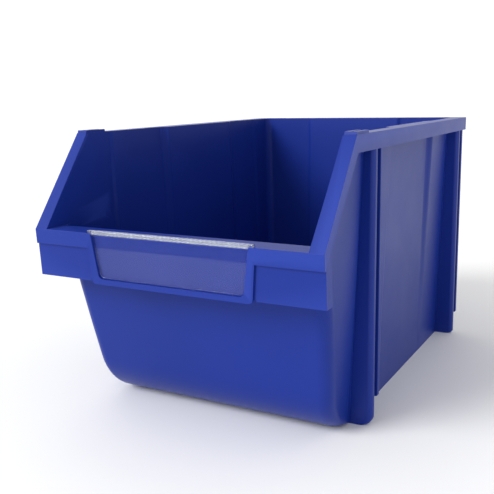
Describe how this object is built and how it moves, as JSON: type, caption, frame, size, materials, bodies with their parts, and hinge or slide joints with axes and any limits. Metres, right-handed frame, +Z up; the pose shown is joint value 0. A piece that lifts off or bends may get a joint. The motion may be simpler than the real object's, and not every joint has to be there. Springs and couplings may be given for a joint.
{
  "type": "stackable storage bin",
  "caption": "Open-fronted stackable plastic parts bin with a hopper mouth, a finger-grip lip and a clear swing-up label window.",
  "frame": {"origin": "centre of the bounding box in plan, on the plane that the underside stands on", "axes": "+Z up, the open hopper front and the lip face -Y, +X to the right for someone behind the bin's front looking along +Y"},
  "size_m": [0.216, 0.336, 0.2018],
  "materials": {
    "moulded_blue": "moulded polypropylene, satin, lightly stippled",
    "clear_window": "clear moulded plastic window, slightly ribbed"
  },
  "bodies": {
    "bin": {"bin_body": "moulded_blue"},
    "cover": {"label_cover": "clear_window"}
  },
  "joints": [
    {"name": "label_cover_hinge", "type": "hinge", "parent": "bin", "child": "cover", "pos_m": [0, -0.16583, 0.1375], "axis": [-1, 0, 0], "range_deg": [0, 170]}
  ]
}
